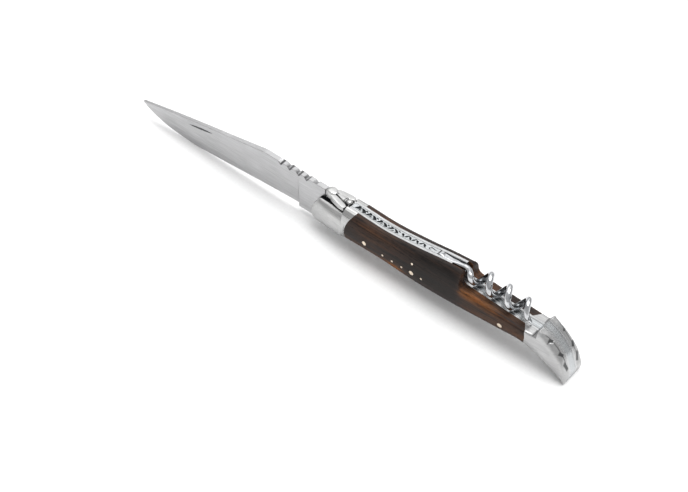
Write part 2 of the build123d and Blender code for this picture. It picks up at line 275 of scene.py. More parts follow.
def rubbed_steel(name, light, dark, grit, roughness, line_depth, polished_end=None):
    """Stainless steel rubbed lengthwise: fine lines that stretch the highlights, slow clouds
    where the hand pressed, and near-black painted where the tone is high: painted shade in
    recesses, on cut walls and under things, and in engraved cuts their painted shade together
    with the black left in them. The grit's real lines are a tenth of this wide; they are drawn
    coarser so that they show."""
    material, tree, shader, put = start_material(name, 1.0)
    place = put("TexCoord", "Object")
    fine = put("Mapping", links={"Vector": place}, values={"Scale": per_mm(9.0, grit, grit)})
    wide = put("Mapping", links={"Vector": place}, values={"Scale": per_mm(12.0, 6.0, 6.0)})
    lines = put("TexNoise", links={"Vector": fine}, values={"Scale": 1.0, "Detail": 3.0})
    clouds = put("TexNoise", links={"Vector": wide}, values={"Scale": 1.0, "Detail": 3.0})
    base = put("ValToRGB", links={"Fac": clouds}, stops=[(0.3, dark), (0.7, light)])
    streaks = put("ValToRGB", links={"Fac": lines}, stops=[(0.3, "#e0e0e0"), (0.7, "#ffffff")])
    rubbed = put("Mix", 2, {6: base, 7: streaks}, {0: 1.0}, data_type="RGBA", blend_type="MULTIPLY")
    tone = put("Attribute", "Fac", attribute_name="tone")
    # painted shade: where the tone is high the steel turns near-black, for the shade in recesses and on cut
    # walls, and in engraved cuts for their shade and the black left in them
    black = put("ValToRGB", links={"Fac": lines}, stops=[(0.3, "#161819"), (0.7, "#2a2d2e")])
    colour = put("Mix", 2, {0: tone, 6: rubbed, 7: black}, data_type="RGBA")
    tree.links.new(colour, shader.inputs["Base Color"])
    spread = NOISE | {"To Min": roughness - 0.05, "To Max": roughness + 0.06}
    rough = put("MapRange", links={"Value": lines}, values=spread)
    if polished_end:
        apart = put("SeparateXYZ", "X", {"Vector": place})
        behind, ahead = polished_end
        ends = {"From Min": behind * MM, "From Max": ahead * MM, "To Min": 0.5, "To Max": 1.0}
        buffed = put("MapRange", links={"Value": apart}, values=ends)
        rough = put("Math", links={0: rough, 1: buffed}, operation="MULTIPLY")
    tree.links.new(rough, shader.inputs["Roughness"])
    relief = put("Bump", links={"Height": lines}, values={"Distance": line_depth * MM})
    tree.links.new(relief, shader.inputs["Normal"])
    return material


def buffed_wire(name):
    """Hardened steel wire buffed on a cotton wheel: a bright mirror that bends what is round
    it, with a faint haze. Where the tone is high, inside the coil and under the wire, it is painted dark:
    painted shade."""
    material, tree, shader, put = start_material(name, 1.0)
    place = put("TexCoord", "Object")
    soft = put("Mapping", links={"Vector": place}, values={"Scale": per_mm(2.2, 2.2, 2.2)})
    swirl = put("Mapping", links={"Vector": place}, values={"Scale": per_mm(1.1, 0.3, 0.3)})
    haze = put("TexNoise", links={"Vector": soft}, values={"Scale": 1.0, "Detail": 4.0})
    marks = put("TexNoise", links={"Vector": swirl}, values={"Scale": 1.0, "Detail": 2.0})
    bright = put("ValToRGB", links={"Fac": haze}, stops=[(0.35, "#a9abae"), (0.65, "#d2d3d5")])
    tone = put("Attribute", "Fac", attribute_name="tone")
    # painted shade inside the coil and under the wire, with a faint mottle
    painted_coil_shade = put("ValToRGB", links={"Fac": marks}, stops=[(0.3, "#1c1e20"), (0.7, "#4a4c4f")])
    colour = put("Mix", 2, {0: tone, 6: bright, 7: painted_coil_shade}, data_type="RGBA")
    tree.links.new(colour, shader.inputs["Base Color"])
    spread = NOISE | {"To Min": 0.07, "To Max": 0.17}
    tree.links.new(put("MapRange", links={"Value": haze}, values=spread), shader.inputs["Roughness"])
    relief = put("Bump", links={"Height": marks}, values={"Distance": 0.012 * MM})
    tree.links.new(relief, shader.inputs["Normal"])
    return material


def oiled_rosewood(name):
    """Rosewood sanded fine and oiled: near-black brown with straight grain along the handle,
    redder and orange streaks where the tone is high, short open pores, a low satin sheen."""
    material, tree, shader, put = start_material(name, 0.0)
    place = put("TexCoord", "Object")
    figure_at = put("Mapping", links={"Vector": place}, values={"Scale": per_mm(34.0, 3.2, 3.2)})
    stripe_at = put("Mapping", links={"Vector": place}, values={"Scale": per_mm(22.0, 0.6, 0.6)})
    pore_at = put("Mapping", links={"Vector": place}, values={"Scale": per_mm(2.4, 0.17, 0.17)})
    wavy = {"Scale": 1.0, "Detail": 4.0, "Distortion": 0.4}
    figure = put("TexNoise", links={"Vector": figure_at}, values=wavy)
    stripes = put("TexNoise", links={"Vector": stripe_at}, values={"Scale": 1.0, "Detail": 4.0})
    pores = put("TexNoise", links={"Vector": pore_at}, values={"Scale": 1.0, "Detail": 2.0})
    tone = put("Attribute", "Fac", attribute_name="tone")
    waves = put("Math", links={0: figure, 1: tone}, operation="ADD")
    spread = {"From Min": 0.45, "From Max": 1.35}
    warmth = put("MapRange", links={"Value": waves}, values=spread)
    shades = [(0.0, "#231c19"), (0.35, "#362a25"), (0.62, "#523928"), (1.0, "#845427")]
    base = put("ValToRGB", links={"Fac": warmth}, stops=shades)
    lights = [(0.32, "#80797a"), (0.52, "#f2eeea"), (0.7, "#ffe6cf")]
    grain = put("ValToRGB", links={"Fac": stripes}, stops=lights)
    grained = put("Mix", 2, {6: base, 7: grain}, {0: 1.0}, data_type="RGBA", blend_type="MULTIPLY")
    holes = put("ValToRGB", links={"Fac": pores}, stops=[(0.34, "#6a5f58"), (0.44, "#ffffff")])
    colour = put("Mix", 2, {6: grained, 7: holes}, {0: 0.85}, data_type="RGBA", blend_type="MULTIPLY")
    tree.links.new(colour, shader.inputs["Base Color"])
    satin = NOISE | {"To Min": 0.46, "To Max": 0.6}
    tree.links.new(put("MapRange", links={"Value": stripes}, values=satin), shader.inputs["Roughness"])
    pore_relief = put("Bump", links={"Height": pores}, values={"Distance": 0.02 * MM})
    relief = put("Bump", links={"Height": stripes, "Normal": pore_relief}, values={"Distance": 0.02 * MM})
    tree.links.new(relief, shader.inputs["Normal"])
    shader.inputs["IOR"].default_value = 1.5
    shader.inputs["Specular IOR Level"].default_value = 0.22
    return material


def filed_nickel_silver(name):
    """Nickel-silver wire peened over and filed flush: pale, slightly warm, softly bright."""
    material, tree, shader, put = start_material(name, 1.0)
    place = put("TexCoord", "Object")
    spots = put("Mapping", links={"Vector": place}, values={"Scale": per_mm(0.5, 0.5, 0.5)})
    tarnish = put("TexNoise", links={"Vector": spots}, values={"Scale": 1.0, "Detail": 3.0})
    colour = put("ValToRGB", links={"Fac": tarnish}, stops=[(0.35, "#d3c1aa"), (0.65, "#f6ead9")])
    tree.links.new(colour, shader.inputs["Base Color"])
    spread = NOISE | {"To Min": 0.3, "To Max": 0.45}
    tree.links.new(put("MapRange", links={"Value": tarnish}, values=spread), shader.inputs["Roughness"])
    relief = put("Bump", links={"Height": tarnish}, values={"Distance": 0.02 * MM})
    tree.links.new(relief, shader.inputs["Normal"])
    return material


# The steels differ in how coarse the rubbing is (mm), how rough it is, and how deep it cuts (mm).
BLADE_STEEL = rubbed_steel("satin_blade_steel", "#c6c6c7", "#bcbcbd", 0.3, 0.36, 0.004)
# The bolsters are softer to the eye than the blade, and their collars are buffed brighter.
BOLSTER_STEEL = rubbed_steel("satin_bolster_steel", "#cccccb", "#b9b9b9", 0.24, 0.34, 0.006, (-9.4, -8.4))
# The tail is belt-brushed: the deepest lines.
TAIL_STEEL = rubbed_steel("brushed_tail_steel", "#cacaca", "#b6b6b6", 0.3, 0.36, 0.01)
# Liners keep the smooth cold-rolled face, and show as thin bright lines.
LINER_STEEL = rubbed_steel("rolled_liner_steel", "#d4d5d6", "#c2c3c4", 0.2, 0.26, 0.003)
# The spring's back is polished before it is engraved, so its margins shine beside its cuts, which are painted
# black for their shade and the black left in them.
SPRING_STEEL = rubbed_steel("engraved_spring_steel", "#d0d3d5", "#bfc2c4", 0.22, 0.28, 0.004)
PIN_STEEL = rubbed_steel("filed_pin_steel", "#c4c4c4", "#b4b4b4", 0.2, 0.34, 0.005)
WORM_STEEL = buffed_wire("buffed_worm_steel")
ROSEWOOD = oiled_rosewood("oiled_rosewood")
NICKEL_SILVER = filed_nickel_silver("filed_nickel_silver")


# ================================================================ handle halves
CROWN = 46                 # points up the crowned side
RISE = 16                  # points on what stands above the split height
CORNER = 18                # points round the corner to the back
FLAT = 14                  # points across the back
SIDE = slice(0, CROWN)
UPPER = slice(CROWN, CROWN + RISE)
ROUND_CORNER = slice(UPPER.stop, UPPER.stop + CORNER)
ACROSS = slice(ROUND_CORNER.stop, None)
FRONT_REACH = 6.0          # the slant of an end fades out over these lengths
REAR_REACH = 4.0
FRONT_ROUND = 1.7          # the bolster's front edge is rounded over this far
FRONT_SWELL = 0.2          # the share of the swell that is left at that edge
CORNER_MOST = 0.8          # a corner takes at most this share of what stands above the back
JOINT_DEPTH = 0.07         # the fine line at a joint
JOINT_HALF = 0.14
SETTLING = 4               # rounds in which a leaning end's points find their places


def crown_turn(height, middle, half, n):
    """The angle at which the side's curve reaches a height."""
    share = np.clip((height - middle) / half, -1, 1)
    return np.arccos(-np.sign(share) * np.abs(share) ** (n / 2))


def half_rings(stations, split, front, rear, corner, rounded=False, crown_top=back,
               front_lean=0.0, rear_lean=0.0):
    """Rings round a handle half, one for each station on its back line. front and rear are
    its ends as functions of height; corner is the rounding of its back edge at x."""
    first, last = stations[0][0], stations[-1][0]
    part = np.concatenate([np.linspace(0, 1, CROWN), np.linspace(0, 1, RISE + 1)[1:]])
    turn = np.linspace(0, np.pi / 2, CORNER + 1)[1:]
    across = np.linspace(0, 1, FLAT + 1)[1:]
    rings = []
    for x0, top in stations:
        x = np.full(CROWN + RISE + CORNER + FLAT, x0)
        near_front = 1 - ease(first - x0, 0, FRONT_REACH)
        near_rear = 1 - ease(x0 - last, 0, REAR_REACH)
        depth = first - x
        for _ in range(SETTLING):
            middle, half, swell, n = section(x, crown_top)
            high = middle + half
            if rounded:
                inset = np.clip(depth / FRONT_ROUND, 0, 1)
                swell = swell * (FRONT_SWELL + (1 - FRONT_SWELL) * np.sqrt(1 - (1 - inset) ** 2))
            radius = np.minimum(corner(x0), np.maximum(high - top, 0) * CORNER_MOST)
            end = np.minimum(top, high) - radius
            low_turn = crown_turn(np.minimum(end, split), middle, half, n)
            high_turn = crown_turn(end, middle, half, n)
            t = high_turn.copy()
            t[SIDE] = part[SIDE] * low_turn[SIDE]
            t[UPPER] = low_turn[UPPER] + part[UPPER] * (high_turn[UPPER] - low_turn[UPPER])
            cosine = np.cos(t)
            y = LINER_OUT + swell * np.sin(t) ** (2 / n)
            z = middle - half * np.sign(cosine) * np.abs(cosine) ** (2 / n)
            edge = y[UPPER.stop - 1]
            inner = max(LINER_OUT, edge - float(radius[ROUND_CORNER.start]))
            y[ROUND_CORNER] = inner + (edge - inner) * np.cos(turn)
            z[ROUND_CORNER] = end[ROUND_CORNER] + radius[ROUND_CORNER] * np.sin(turn)
            y[ACROSS] = inner + (LINER_OUT - inner) * across
            z[ACROSS] = np.minimum(top, high)[ACROSS]
            peak = z[-1]
            lean = joint_lean(y, z)
            x = x0 + near_front * (front(z) - front(peak) + front_lean * lean)
            x = x + near_rear * (rear(z) - rear(peak) + rear_lean * lean)
            depth = front(z) - x
        outside = y > LINER_OUT + 0.1
        if not rounded:
            y -= JOINT_DEPTH * groove(front(z) + front_lean * lean - x, JOINT_HALF) * outside
            outside = y > LINER_OUT + 0.1
        y -= JOINT_DEPTH * groove(x - rear(z) - rear_lean * lean, JOINT_HALF) * outside
        rings.append(np.stack([x, y, z], 1))
    return np.array(rings)


SHOULDER = 19.0            # the height at which the wood's front is taken for where its back starts
WOOD_START = float(wood_front(back(wood_front(SHOULDER))))
DOME_STEPS = np.array([0, 0.02, 0.06, 0.12, 0.2, 0.3, 0.42, 0.56, 0.72, 0.9, 1.1, 1.35])
DOME_FINE = -7.6           # the stations lie closer together behind here
COLLAR_CUT = 0.1           # the engraved line at the collar, with its half-width
COLLAR_CUT_HALF = 0.16


def dome_top(x):
    """The dome's crown runs in to the scoop's floor, and the collar's to the handle's back."""
    return SCOOP_FLOOR + (back(x) - SCOOP_FLOOR) * ease(-x, -COLLAR - 0.2, -COLLAR)


def front_bolster():
    """The front bolster: a satin dome with a scoop for the thumb rest, and a collar."""
    start = float(handle_front(SCOOP_FLOOR))
    stations = run(start - DOME_STEPS, SCOOP_FLOOR)
    stations += run(row(start - 1.6, DOME_FINE, 0.35), SCOOP_FLOOR)
    stations += run(row(DOME_FINE - 0.2, COLLAR + 0.1, 0.1), SCOOP_FLOOR)
    wall = np.linspace(SCOOP_FLOOR, back(COLLAR), 8)
    stations += run(COLLAR - WALL * np.arange(8), wall)
    rear = row(COLLAR - 0.1, WOOD_START, 0.12)
    stations += run(rear, back(rear))
    rings = half_rings(stations, SCOOP_FLOOR - 1.5, handle_front, wood_front, lambda x: 0.0, rounded=True,
                       crown_top=dome_top)
    x, y, z = np.moveaxis(rings, -1, 0)
    cut = groove(x - COLLAR - 0.12, COLLAR_CUT_HALF) * ease(z, 12.0, 14.0) * (y > 4.0)
    rings[..., 1] -= COLLAR_CUT * cut
    # painted shade: the scoop's floor beside the liner, under the thumb rest, is painted black; the collar's
    # engraved line is painted dark for its shade and the black left in it
    painted_shade_in_scoop = (x > COLLAR) & (y < LINER_OUT + 0.45) & (z > SCOOP_FLOOR - 0.35)
    both_sides("front_bolster", [rings], BOLSTER_STEEL, [np.maximum(0.8 * cut, painted_shade_in_scoop)])


def wood_warmth(x, z):
    """Where the rosewood is redder and lighter, from 0 to about 0.6. On the upward facet behind the hump it
    is painted light.
    """
    low_edge = 0.3 * ease(-z, -10.0, -6.0) * (1 - ease(-x, 34.0, 44.0))
    patch = 0.5 * np.exp(-(((x + 36) / 4.5) ** 2) - ((z - 8.0) / 1.8) ** 2)
    middle = 0.14 * np.exp(-(((x + 24) / 12) ** 2))
    rear = 0.22 * ease(-x, 60.0, 68.0)
    # painted light: the upward facet behind the hump is painted warmer and lighter where it faces the lamps
    facet = 0.24 * ease(-x, 62.0, 65.0) * (1 - ease(-x, 68.0, 84.0)) * ease(z, 12.0, 14.5)
    dark = -0.22 * ease(-x, 36.0, 50.0) * (1 - ease(-x, 62.0, 65.0)) * ease(z, 7.0, 11.0)
    return 0.16 + low_edge + patch + middle + rear + facet + dark


ARC = np.linspace(0, np.pi / 2, 12)[1:]
HUMP_CORNER = [(-61.0, 0.0), (-62.5, 0.3), (HUMP_END, 0.5), (-66.0, 1.1), (-90.0, 1.1)]
PAINTED_LIGHT_BESIDE_SHANK = 0.45              # painted light: how much paler the wood's inner face beside the shank is painted, inside the liner's relief, where it lies in shade


def scale():
    """The wooden scale: full to the back in front, then a hump's rounded end and a facet."""
    brow = HUMP_END + HUMP_ROUND
    front = np.concatenate([WOOD_START - np.array([0, 0.04, 0.08, 0.15]), row(WOOD_START - 0.3, brow, 0.5)])
    stations = run(front, back(front))
    top = float(back(brow))
    stations += run(HUMP_END + HUMP_ROUND * (1 - np.sin(ARC)), top - HUMP_ROUND * (1 - np.cos(ARC)))
    wall = np.linspace(top - HUMP_ROUND, HUMP_FOOT + FOOT_ROUND, 8)[1:]
    stations += run(HUMP_END - WALL * np.arange(1, 8), wall)
    foot = HUMP_END - 8 * WALL - FOOT_ROUND * (1 - np.cos(ARC))
    stations += run(foot, facet_top(foot) + FOOT_ROUND * (1 - np.sin(ARC)))
    rear = row(foot[-1] - 0.3, WOOD_REAR[0][1], 0.4)
    stations += run(rear, facet_top(rear))
    rings = half_rings(stations, TAIL_FLAT - 1.2, wood_front, wood_rear, through(HUMP_CORNER), rear_lean=1.0)
    x, y, z = np.moveaxis(rings, -1, 0)
    # painted light: the wood's inner face beside the shank is painted paler to stand in for light on a face
    # that lies in shade
    beside_shank = (y < LINER_OUT + 0.02) & (x < RELIEF + 1) & (x > HUMP_END) & (z > 14.0)
    both_sides("scale", [rings], ROSEWOOD, [wood_warmth(x, z) + PAINTED_LIGHT_BESIDE_SHANK * beside_shank])


def tail_crown(x):
    """Behind the step, the top of the side's curve is set so that it meets the brushed back
    at the back's edge."""
    low, swell, n = np.maximum(belly(x), 0.0), bulge(x), squareness(x)
    share = (1 - ((tail_band(x) - LINER_OUT) / swell) ** n) ** (1 / n)
    met = (2 * tail_back(x) - low * (1 - share)) / (1 + share)
    return np.where(x < STEP_LIP[0], met, back(x) + (met - back(x)) * ease(-x, 95.2, 96.7))


TAIL_CORNER = [(-89.0, 0.9), (-94.5, 0.9), (-95.6, 0.5), (-96.7, 0.35), (-110.0, 0.3)]
LINE_FROM, LINE_TO = -97.6, -108.6  # the engraved line along the brushed back's edge
LINE_HALF = 0.2
NOTCH_REACH = 1.25         # a notch's half-length across the edge
NOTCH_HALF = 0.95          # and along it
NOTCH_LEAN = 0.5
NOTCH_STEEP = 2.6
CUT_IN, CUT_DOWN = 0.25, 0.2
STEP_SHADE = 0.6           # painted shade on the step's wall


def tail_bolster():
    """The tail: a flat and a step behind the corkscrew's point, then a brushed back whose
    edge is cut with a line and three notches."""
    stations = run(row(WOOD_REAR[0][1], STEP_FOOT, 0.2), TAIL_FLAT)
    climb = row(STEP_FOOT - 0.02, STEP_LIP[0] + 0.12, 0.12)
    rise = along([(STEP_FOOT, TAIL_FLAT), STEP_LIP])
    stations += run(climb, rise(climb))
    lip = STEP_LIP[0] - np.array([0.0, 0.1, 0.22])
    stations += run(lip, tail_back(lip) - np.array([0.07, 0.015, 0.0]))
    rear = row(STEP_LIP[0] - 0.32, TAIL_END, 0.11)
    stations += run(rear, tail_back(rear))
    rings = half_rings(stations, TAIL_FLAT - 1.3, wood_rear, lambda z: TAIL_END + 0 * z, through(TAIL_CORNER),
                       crown_top=tail_crown, front_lean=1.0)
    x, y, z = np.moveaxis(rings, -1, 0)
    out = y - tail_band(x)
    cut = groove(out - 0.05, LINE_HALF) * ease(-x, -LINE_FROM, -LINE_FROM + 2) * (x > LINE_TO) * 0.9
    for place in NOTCHES:
        reach = groove(out - 0.35, NOTCH_REACH)
        tooth = np.clip(reach - np.abs(x - place - NOTCH_LEAN * out) / NOTCH_HALF, 0, 1)
        cut = np.maximum(cut, np.minimum(1, tooth * NOTCH_STEEP))
    cut = cut * (z > tail_back(x) - 2.6) * (x < -97)
    rings[..., 1] -= CUT_IN * cut
    rings[..., 2] -= CUT_DOWN * cut
    # painted shade on the step's wall; the engraved line and notches are painted dark for their shade and the
    # black left in them
    step = STEP_SHADE * ((x < STEP_FOOT + 0.3) & (x > STEP_LIP[0] + 0.15) & (z > TAIL_FLAT - 0.2))
    tones = np.maximum(step, np.minimum(0.8, cut * 1.3))
    both_sides("tail_bolster", [rings], TAIL_STEEL, [tones])


# ================================================================ liners and spring
SLAB_ROWS = 12


def slab_rings(stations, bottom, inner, outer, ease_edge, front=None, across=2):
    """Rings round a plate between two values of y, one for each station on its back line."""
    rings = []
    first = stations[0][0]
    for x0, top in stations:
        low = float(bottom(x0))
        climb = np.linspace(low + ease_edge, top - ease_edge, SLAB_ROWS)
        over = np.linspace(outer - ease_edge, inner + ease_edge, across)
        under = over[::-1]
        y = np.concatenate([np.full(SLAB_ROWS, outer), over, np.full(SLAB_ROWS, inner), under])
        z = np.concatenate([climb, np.full(across, top), climb[::-1], np.full(across, low)])
        x = np.full(len(y), x0)
        if front:
            x = x0 + (1 - ease(first - x0, 0, FRONT_REACH)) * (front(z) - front(top))
        rings.append(np.stack([x, y, z], 1))
    return np.array(rings)


def liner(side, relief):
    """A liner has the side outline of the three pieces that lie on it."""
    start = float(handle_front(SCOOP_FLOOR))
    stations = run(row(start, SCOOP_BACK, 0.4), SCOOP_FLOOR)
    stations += run([SCOOP_BACK - WALL], back(SCOOP_BACK))
    front = row(SCOOP_BACK - 0.3, relief, 0.6)
    stations += run(front, back(front))
    angle = np.linspace(0, np.pi / 2, 10)
    foot = relief - WALL - RELIEF_ROUND * (1 - np.cos(angle))
    stations += run(foot, HUMP_FOOT + RELIEF_ROUND * (1 - np.sin(angle)))
    middle = row(foot[-1] - 0.4, WOOD_REAR[0][1], 0.8)
    stations += run(middle, facet_top(middle))
    stations += run(row(WOOD_REAR[0][1] - 0.5, STEP_FOOT, 0.8), TAIL_FLAT)
    stations += [STEP_LIP]
    rear = row(STEP_LIP[0] - 0.2, TAIL_END, 0.2)
    stations += run(rear, tail_back(rear))
    rings = slab_rings(stations, lambda x: max(belly(x), 0.0), SLOT_HALF, LINER_OUT, 0.06, handle_front)
    x, _, z = np.moveaxis(rings, -1, 0)
    # painted shade: the liner's top inside the scoop, under the thumb rest, is painted black
    painted_shade_in_scoop = (x > SCOOP_BACK - 0.001) & (z > SCOOP_FLOOR - 0.1)
    rings = rings if side == "left" else other_side(rings)
    mesh = skin(f"{side}_liner_form", [rings], [painted_shade_in_scoop])
    add_piece(f"{side}_liner_form", mesh, "handle", LINER_STEEL, [f"{side}_liner"])


def stroke(x, y, start, end, width):
    """How deep a tapered graver's stroke from start to end cuts, 0 to 1."""
    start, end = np.array(start), np.array(end)
    way = end - start
    length = np.hypot(*way)
    share = ((x - start[0]) * way[0] + (y - start[1]) * way[1]) / length**2
    share = np.clip(share, 0, 1)
    gap = np.hypot(x - start[0] - share * way[0], y - start[1] - share * way[1])
    half = width * (0.25 + 3 * share * (1 - share))
    return np.clip(1.3 - gap / half, 0, 1)


# Strokes of one leaf, and of one of the small sprigs behind: start and end beside its place
# along the vine, and width.
LEAF = [((1.1, -0.72), (-1.2, 0.62), 0.62), ((0.4, 0.78), (-1.0, 0.5), 0.4),
        ((-0.6, -0.8), (-1.7, -0.3), 0.34)]
SPRIG = [((0.0, 0.6), (-1.1, -0.45), 0.42), ((-0.7, -0.7), (-1.5, -0.66), 0.24)]
# A row of them: the strokes, the first one's place, how many, their spacing, how much each shrinks.
VINE = [(LEAF, -12.6, 8, 2.6, 0.05), (SPRIG, -33.4, 7, 1.65, 0.0)]
CURL = (-46.6, -0.05)
CURL_RADIUS = 0.55
ENGRAVED = (-49.8, -10.8)


def foliage(x, y):
    """A vine along the spring's back: leaves in pairs in front, small sprigs behind, a curl last."""
    cut = np.zeros_like(x)
    for strokes, first, count, spacing, shrink in VINE:
        for step in range(count):
            at = first - spacing * step
            turned = 1 if step % 2 else -1
            size = 1.0 - shrink * step
            for (x0, y0), (x1, y1), width in strokes:
                start, end = (at + x0, y0 * turned), (at + x1, y1 * turned)
                cut = np.maximum(cut, stroke(x, y, start, end, width * size))
    curl = np.hypot(x - CURL[0], y - CURL[1])
    cut = np.maximum(cut, groove(curl - CURL_RADIUS, 0.2) * (x > CURL[0] - 0.4))
    cut = np.maximum(cut, stroke(x, y, (-46.4, -0.62), (-49.3, 0.05), 0.15))
    return cut * (x > ENGRAVED[0]) * (x < ENGRAVED[1])


SPRING_NOSE = 2.8
SPRING_BELLY = [(2.8, 15.0), (-7.0, 15.0), (-9.5, 13.4), (-30.0, 12.8), (-80.0, 12.7), (-93.5, 10.9),
                (-102.7, 7.3), (-107.4, 2.6), (-107.9, 0.3), (-109.6, 0.3)]
SIDE_PLAY = 0.04           # between the spring and each liner
RAMP_END = (-66.7, 15.75)
ENGRAVING_DEPTH = 0.14


def backspring():
    """The spring that shows down the knife's back: engraved arm, channel under the screw,
    flat, and the middle strip of the tail."""
    stations = run(row(SPRING_NOSE, SCOOP_BACK, 0.8), NOSE_TOP)
    arm = row(SCOOP_BACK - WALL, SEAM, 0.09)
    stations += run(arm, back(arm))
    hollow = np.linspace(back(SEAM) - 0.05, CHANNEL, 14)
    swung = SWING_CENTRE[0] + np.sqrt(SWING_REACH**2 - (hollow - SWING_CENTRE[1]) ** 2)
    stations += run(swung, hollow)
    channel = np.concatenate([[swung[-1] - WALL], row(-52.0, HUMP_END, 1.0)])
    stations += run(channel, CHANNEL)
    ramp = row(HUMP_END - 0.4, RAMP_END[0] + 0.3, 0.4)
    stations += run(ramp, along([(HUMP_END, CHANNEL), RAMP_END])(ramp))
    rear = row(RAMP_END[0], WOOD_REAR[0][1], 0.8)
    stations += run(rear, facet_top(rear))
    stations += run(row(WOOD_REAR[0][1] - 0.5, STEP_FOOT, 0.8), TAIL_FLAT)
    stations += [STEP_LIP]
    tail = row(STEP_LIP[0] - 0.2, TAIL_END, 0.2)
    stations += run(tail, tail_back(tail))
    side = SLOT_HALF - SIDE_PLAY
    rings = slab_rings(stations, along(SPRING_BELLY), -side, side, 0.13, across=27)
    x, y, z = np.moveaxis(rings, -1, 0)
    on_back = (z > back(x) - 0.05) & (x < SCOOP_BACK - 0.3) & (x > SEAM + 0.2)
    cut = foliage(x, y) * on_back
    rings[..., 2] -= ENGRAVING_DEPTH * cut
    # painted shade on the spring's top under the thumb rest; the engraved vine is painted black for its shade
    # and the black left in its cuts
    painted_shade_under_rest = 0.75 * ease(-x, -2.7, -2.6) * (z > 17.0) * (x > SCOOP_BACK - 0.1)
    tones = np.maximum(np.minimum(1, 3.0 * cut), painted_shade_under_rest)
    mesh = skin("backspring_form", [rings], [tones])
    add_piece("backspring_form", mesh, "handle", SPRING_STEEL, ["backspring"])


# ================================================================ thumb rest
def lobe(start, end, widths, heights, square, steps=22):
    """A rounded lobe lying from start to end: half-widths and tops at even places along it."""
    start, end = np.array(start, float), np.array(end, float)
    way = (end - start) / np.hypot(*(end - start))
    aside = np.array([-way[1], way[0]])
    places = (1 - np.cos(np.linspace(0, np.pi, steps))) / 2
    spots = np.linspace(0, 1, len(widths))
    width = through(list(zip(spots, widths)))(places)
    height = through(list(zip(spots, heights)))(places)
    angle = np.linspace(0, np.pi, 19)
    rings = []
    for share, half, top in zip(places, width, height):
        spread = np.sign(np.cos(angle)) * np.abs(np.cos(angle)) ** (2 / square) * half
        lift = np.abs(np.sin(angle)) ** (2 / square) * (top - NOSE_TOP)
        middle = start + (end - start) * share
        plan = middle + np.outer(spread, aside)
        rings.append(np.stack([plan[:, 0], plan[:, 1], NOSE_TOP + lift], 1))
    return np.array(rings)


def thumb_rest():
    """A bud over the blade's tang with two long leaves and a ringed stem behind it, on a
    ground painted black: painted shade in the gaps between them. Each lobe has its ends in plan, its
    half-widths and its heights."""
    parts = [
        lobe((2.75, 0), (-1.75, 0), [1.2, 1.75, 1.95, 1.8, 0.9], [19.6, 20.2, 20.3, 20.1, 19.7], 8),
        lobe((-1.95, 0), (-6.2, 0), [0.2, 0.55, 0.85, 1.1, 1.15], [19.6, 19.75, 19.75, 19.7, 19.6], 10),
        lobe((-6.4, 0), (-7.0, 0), [1.1, 1.2, 1.1], [19.5, 19.7, 19.5], 8, steps=9),
        lobe((-7.2, 0), (-9.45, 0), [1.0, 1.25, 1.2, 1.0, 0.5], [19.5, 19.8, 19.8, 19.6, 19.2], 6),
    ]
    tones = [np.zeros(rings.shape[:2]) for rings in parts]
    for side in (1, -1):
        leaf = lobe((-0.75, 1.5 * side), (-8.4, 3.05 * side), [0.9, 1.15, 1.25, 1.3, 1.25, 0.8],
                    [19.5, 19.4, 19.2, 19.0, 18.8, 18.6], 10)
        parts.append(leaf)
        tones.append(np.zeros(leaf.shape[:2]))
    # painted shade: a sheet painted black under the lobes stands for the shade in the gaps between them
    ground = lobe((1.9, 0), (-8.0, 0), [1.3, 1.8, 2.0, 2.2, 2.4, 2.4],
                  [18.8, 19.0, 18.9, 18.8, 18.5, 18.2], 6)
    parts.append(ground)
    tones.append(np.ones(ground.shape[:2]))
    mesh = skin("thumb_rest_form", parts, tones)
    add_piece("thumb_rest_form", mesh, "handle", BOLSTER_STEEL, ["thumb_rest"])


# ================================================================ pins
RIVET_RADIUS = 0.95
CROSS_RADIUS = 0.45
PIVOT_RADIUS = 1.5
TAIL_PIN_RADIUS = 1.0
PROUD = 0.025              # a pin's end stands this far out of the wood, too little to feel


def flush_pin(place, radius, proud=PROUD):
    """A pin filed flush with the handle's side, its end following the side's curve."""
    angle = np.linspace(0, 2 * np.pi, 25)[:-1]
    rings = []
    for share, lift in ((1, None), (1, proud * 0.2), (0.93, proud), (0.6, proud), (0.25, proud)):
        x = place[0] + radius * share * np.cos(angle)
        z = place[1] + radius * share * np.sin(angle)
        y = np.full_like(x, LINER_OUT - 0.5) if lift is None else side_reach(x, z) + lift
        rings.append(np.stack([x, y, z], 1))
    return np.array(rings)


def pins():
    """Rivets and small pins end in the wood, the pivot and the tail pin in the bolsters."""
    rivets = [flush_pin(place, RIVET_RADIUS) for place in RIVETS]
    both_sides("scale_rivets", rivets, NICKEL_SILVER)
    middle_x, middle_z = RIVETS[1]
    places = [(middle_x + a * CROSS_STEP, middle_z + b * CROSS_STEP) for a, b in CROSS]
    cross = [flush_pin(place, CROSS_RADIUS) for place in places]
    both_sides("cross_pins", cross, NICKEL_SILVER)
    through_pins = (("blade_pivot_pin", PIVOT, PIVOT_RADIUS), ("tail_pin", TAIL_PIN, TAIL_PIN_RADIUS))
    for name, place, radius in through_pins:
        half = flush_pin(place, radius, 0.0)
        whole = np.concatenate([other_side(half)[:0:-1], half[1:]])
        add_piece(f"{name}_form", skin(f"{name}_form", [whole]), "handle", PIN_STEEL, [name])


